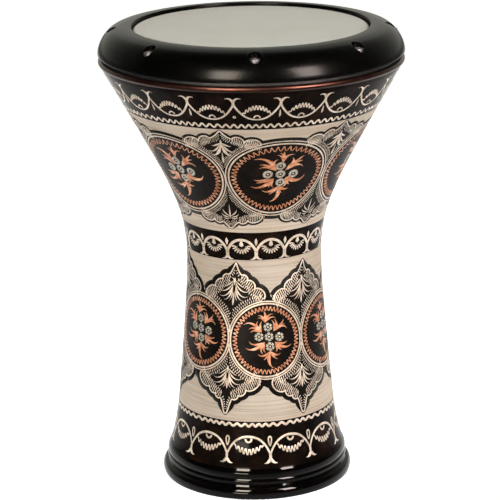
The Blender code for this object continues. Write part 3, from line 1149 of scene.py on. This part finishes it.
def make_field(name, row, top, bottom, over, notch):
    """Black ground of one frieze, with a border round its medallions and palmettes."""
    highs = field_edge(row, top, 1.0, over, notch)
    lows = field_edge(row, bottom, -1.0, over, notch)
    piece = Piece(name, FIELD)
    rows = 18
    columns = []
    for n, (low, high) in enumerate(zip(lows, highs)):
        column = [piece.on_shell(n * FIELD_STEP, low, 0.0)]
        for j in range(rows + 1):
            column.append(piece.on_shell(n * FIELD_STEP, low + (high - low) * j / rows, FIELD_LIFT))
        column.append(piece.on_shell(n * FIELD_STEP, high, 0.0))
        columns.append(column)
    for n, a in enumerate(columns):
        b = columns[(n + 1) % len(columns)]
        for j in range(rows + 2):
            piece.face((a[j], b[j], b[j + 1], a[j + 1]))
    piece.make("drum")


# ---------------- arcades of the black bands


def wave_line(piece, z, swing, periods, width):
    """Wavy line all round the drum, with waves that are not all the same length."""
    steps = periods * 10
    points = []
    for i in range(steps + 1):
        t = 2.0 * math.pi * i / steps
        phase = periods * t + 1.6 * math.sin(3.0 * t + 0.8) + 0.9 * math.sin(11.0 * t)
        points.append((math.degrees(t), z + swing * math.sin(phase)))
    stroke(piece, points, width)


def zigzag(piece, spot, half_width, middle, ends, swing, teeth, width):
    """Zigzag along a shallow curve: middle and ends are its heights."""
    steps = teeth * 6
    points = []
    for i in range(steps + 1):
        x = -1.0 + 2.0 * i / steps
        fade = 1.0 - 0.75 * abs(x) ** 3
        y = ends + (middle - ends) * (1.0 - x * x) + swing * fade * math.sin(2.0 * math.pi * i / 6.0)
        points.append(spot.at(half_width * x, y))
    stroke(piece, points, width)


def arch_pair(piece, spot, corners, widths):
    """Two mirrored half arcs that spring from one joint."""
    for side in (1.0, -1.0):
        a, b, c = [(side * x, y) for x, y in corners]
        arch = bezier((0.0, 0.0), a, b, c, len(widths) - 1)
        stroke(piece, [spot.at(x, y) for x, y in arch], widths)


def make_top_arcade():
    """Hanging arcs under the rim, with leafy joints, zigzags and drops."""
    piece = Piece("top_arcade", SILVER)
    count, first, joint, drop = 20, -8.4, 388.6, -15.1
    step = 360.0 / count
    half = math.radians(0.5 * step) * shell_radius(joint)
    arch = ((5.6, -10.0), (0.55 * half, drop), (half, drop))
    for k in range(count):
        spot = Spot(first + step * k, joint)
        arch_pair(piece, spot, arch, [1.9 - 0.3 * i / 16 for i in range(17)])
        leaf_pair(piece, spot, (-0.9, -1.6), (6.9, 5.8), 0.34, 2.6, 0.4)
        if k % 4 == 0:
            spray = ellipse(spot.at(0.0, 0.0)[0], joint - 12.6, 0.45, 0.9, 14)
            stroke(piece, spray, 0.9, True)
        else:
            leaf(piece, spot, (0.0, -5.6), (0.0, -13.0), 0.03, 1.9, 0.6)
        middle = Spot(first + step * (k + 0.5), joint)
        zigzag(piece, middle, 13.4, -2.8, -9.8, 2.5, 9, 1.05)
        cup = arc((0.0, drop + 1.2), 2.9, 10.0, 170.0, 12)
        stroke(piece, [middle.at(x, y) for x, y in cup], 1.3)
    wave_line(piece, 366.8, 1.6, 108, 1.75)
    piece.make("drum")


def make_waist_arcade():
    """Upright arches round the waist, each with a fan of rays."""
    piece = Piece("waist_arcade", SILVER)
    count, first, joint, rise = 15, 0.4, 235.2, 11.4
    step = 360.0 / count
    half = math.radians(0.5 * step) * shell_radius(joint)
    arch = ((3.0, 6.5), (0.5 * half, rise), (half, rise))
    for k in range(count):
        spot = Spot(first + step * k, joint)
        arch_pair(piece, spot, arch, [2.5] * 17)
        leaf_pair(piece, spot, (-0.9, 1.6), (5.6, -7.6), -0.30, 2.8, 0.5)
        leaf(piece, spot, (0.0, 5.8), (0.0, 13.0), 0.0, 2.9, 0.5)
        middle = Spot(first + step * (k + 0.5), joint)
        for i in range(19):
            angle = math.radians(188.0 + 164.0 * i / 18.0)
            near, far, width = (3.9, 6.6, 0.9) if i % 2 else (5.2, 9.2, 1.5)
            inner = (near * math.cos(angle), 6.0 + 0.95 * near * math.sin(angle))
            outer = (far * math.cos(angle), 6.0 + 0.95 * far * math.sin(angle))
            leaf(piece, middle, inner, outer, 0.0, width, 0.6, steps=5)
        leaf(piece, middle, (0.0, 11.0), (0.0, 4.6), 0.0, 4.2, 0.7)
    piece.make("drum")


def drop_loop(spot, steps=20):
    """Closed loop that is wider at its top."""
    points = []
    for i in range(steps):
        angle = 2.0 * math.pi * i / steps
        across = 1.45 * math.sin(angle) * (1.0 + 0.45 * math.cos(angle))
        points.append(spot.at(across, 12.4 + 4.3 * math.cos(angle)))
    return points


def make_foot_arcade():
    """Thin arches above the foot, with loops between them and a wavy line over them."""
    piece = Piece("foot_arcade", SILVER)
    count, first, joint, rise = 12, 7.9, 40.8, 16.8
    step = 360.0 / count
    half = math.radians(0.5 * step) * shell_radius(joint)
    arch = ((4.0, 10.5), (0.5 * half, rise), (half, rise))
    for k in range(count):
        spot = Spot(first + step * k, joint)
        arch_pair(piece, spot, arch, [1.7 + 0.5 * i / 18 for i in range(19)])
        leaf_pair(piece, spot, (-0.7, 1.6), (6.2, -7.8), -0.28, 2.9, 0.55)
        stroke(piece, drop_loop(spot), 1.2, True)
        middle = Spot(first + step * (k + 0.5), joint)
        zigzag(piece, middle, 14.2, 2.6, 9.0, 2.9, 8, 1.2)
        cup = arc((0.0, rise - 2.2), 3.0, 180.0, 360.0, 14)
        stroke(piece, [middle.at(x, y) for x, y in cup], 1.7)
    wave_line(piece, 68.7, 1.2, 64, 2.2)
    piece.make("drum")


# ---------------- camera, floor and lights


def make_camera():
    """Camera at a long lens, a little above the drum."""
    pitch, side = math.radians(CAMERA_PITCH), math.radians(CAMERA_SIDE)
    back = Vector((-math.sin(side) * math.cos(pitch), -math.cos(side) * math.cos(pitch), math.sin(pitch)))
    turn = (-back).to_track_quat("-Z", "Y").to_matrix().to_4x4()
    right = turn.to_3x3() @ Vector((1.0, 0.0, 0.0))
    aim = Vector((0.0, 0.0, AIM_HEIGHT * MM)) - right * AIM_LEFT * MM
    data = bpy.data.cameras.new("camera")
    data.lens = LENS
    data.sensor_width = 36.0
    data.clip_end = 50.0
    camera = add_object("camera", data)
    roll = Matrix.Rotation(math.radians(CAMERA_ROLL), 4, "Z")
    camera.matrix_world = Matrix.Translation(aim + back * CAMERA_DISTANCE * MM) @ turn @ roll
    bpy.context.scene.camera = camera


# Floor: half width in metres, and the glow behind the drum with its centre and half sizes
FLOOR_SIZE = 14.0
FLOOR_GLOW = 0.85
GLOW_CENTRE = (0.0, 1.5, 0.0)
GLOW_SIZE = (1.8, 1.66, 1.0)


def make_floor():
    """Plain pale floor that glows behind the drum."""
    mesh = bpy.data.meshes.new("floor")
    corners = [(x * FLOOR_SIZE, y * FLOOR_SIZE, 0.0) for x, y in ((-1, -1), (1, -1), (1, 1), (-1, 1))]
    mesh.from_pydata(corners, [], [(0, 1, 2, 3)])
    n = Nodes("floor_white")
    tone = n.noise(n.place(), 3.0, 2.0)
    n.colour(n.ramp(tone, [(0.3, (0.90, 0.90, 0.90)), (0.7, (0.93, 0.93, 0.93))]))
    n.shader.inputs["Roughness"].default_value = 0.9
    n.surface(0.0, 0.1)
    pool = n.add("ShaderNodeMapping", vector_type="TEXTURE")
    pool.inputs["Location"].default_value = GLOW_CENTRE
    pool.inputs["Scale"].default_value = GLOW_SIZE
    n.link(n.place(), pool.inputs["Vector"])
    round_glow = n.add("ShaderNodeTexGradient", gradient_type="SPHERICAL")
    n.link(pool.outputs[0], round_glow.inputs["Vector"])
    back = n.ramp(round_glow.outputs["Fac"], [(0.0, 0.0), (0.045, FLOOR_GLOW)])
    n.shader.inputs["Emission Color"].default_value = (1.0, 1.0, 1.0, 1.0)
    n.link(back, n.shader.inputs["Emission Strength"])
    mesh.materials.append(n.material)
    add_object("floor", mesh)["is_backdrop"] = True


LIGHT_AIM = Vector((0.0, 0.0, 0.22))


def add_light(name, azimuth, away, height, size, power, colour, spread):
    """Soft rectangular light that faces the drum; azimuth 0 is the front and 90 the right."""
    data = bpy.data.lights.new(name, "AREA")
    data.shape = "RECTANGLE"
    data.size, data.size_y = size
    data.energy = power
    data.color = colour
    data.spread = math.radians(spread)
    light = add_object(name, data)
    turn = math.radians(azimuth)
    light.location = (away * math.sin(turn), -away * math.cos(turn), height)
    light.rotation_mode = "QUATERNION"
    light.rotation_quaternion = (LIGHT_AIM - light.location).to_track_quat("-Z", "Y")
    return light


def make_world():
    """Dim surroundings in front of the drum and pale ones behind it."""
    world = bpy.data.worlds.new("studio")
    world.use_nodes = True
    tree = world.node_tree
    parts = tree.nodes.new("ShaderNodeSeparateXYZ")
    tree.links.new(tree.nodes.new("ShaderNodeTexCoord").outputs["Generated"], parts.inputs[0])
    ramp = tree.nodes.new("ShaderNodeValToRGB")
    front, back = ramp.color_ramp.elements
    front.position, front.color = 0.1, (0.035, 0.035, 0.035, 1.0)
    back.position, back.color = 0.8, (0.78, 0.77, 0.68, 1.0)
    tree.links.new(parts.outputs["Y"], ramp.inputs["Fac"])
    tree.links.new(ramp.outputs["Color"], tree.nodes["Background"].inputs["Color"])
    bpy.context.scene.world = world


# Fill boxes: name, azimuth, power and colour
FILLS = (("left", -24.0, 1.34, (1.0, 0.98, 0.95)), ("right", 52.0, 1.5, (1.0, 0.96, 0.95)))
FILL_AWAY = 2.7
FILL_SIZE = (0.7, 0.32)
FILL_HEIGHTS = (("low", 0.37), ("high", 2.05))
STRIP_AWAY = 0.9
# Highlight strips: name, azimuth, height of the middle, width, height, brightness and colour
STRIPS = (
    ("left_main", -20.0, 0.72, 0.28, 0.46, 60.0, (1.0, 0.88, 0.74)),
    ("left_low", -20.0, 0.05, 0.25, 0.07, 45.0, (1.0, 0.88, 0.74)),
    ("right_main", 39.0, 0.73, 0.27, 0.5, 66.0, (1.0, 0.85, 0.78)),
)


def make_lights():
    """Two pairs of gridded boxes that fill, and strips close to the drum that only make highlights."""
    for name, azimuth, power, colour in FILLS:
        for level, height in FILL_HEIGHTS:
            label = "%s_%s_fill" % (name, level)
            fill = add_light(label, azimuth, FILL_AWAY, height, FILL_SIZE, power, colour, 40.0)
            fill.visible_glossy = False
    for name, azimuth, height, wide, tall, brightness, colour in STRIPS:
        glow = brightness * math.pi * wide * tall
        label = "%s_strip" % name
        shine = add_light(label, azimuth, STRIP_AWAY, height, (wide, tall), glow, colour, 180.0)
        shine.visible_diffuse = False


make_camera()
make_floor()
make_world()
make_lights()
make_bowl()
make_stem()
make_head()
make_ring()
for number, place in enumerate(bolt_places()):
    make_bolt(number + 1, place)
finish_cad_nodes()
make_field("upper_field", UPPER, UPPER_TOP, UPPER_BOTTOM, 4.2, 0.0)
make_field("lower_field", LOWER, LOWER_TOP, LOWER_BOTTOM, 3.6, 8.0)
make_rings("upper_rings", UPPER)
make_rings("lower_rings", LOWER)
make_waves("upper_waves", UPPER)
make_waves("lower_waves", LOWER)
make_rosettes("upper_rosettes", UPPER, 1.1, False)
make_rosettes("lower_rosettes", LOWER, 1.0, True)
make_flames("upper_flames", UPPER, UPPER_FLAMES, 1.45)
make_flames("lower_flames", LOWER, LOWER_FLAMES, 1.12)
make_palmettes("upper_palmettes", UPPER, UPPER_TOP, UPPER_BOTTOM)
make_palmettes("lower_palmettes", LOWER, LOWER_TOP, LOWER_BOTTOM)
make_top_arcade()
make_waist_arcade()
make_foot_arcade()

bpy.context.scene.view_settings.view_transform = "Standard"
boxes = [[list(corner) for corner in box] for box in (CAD_BOX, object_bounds())]
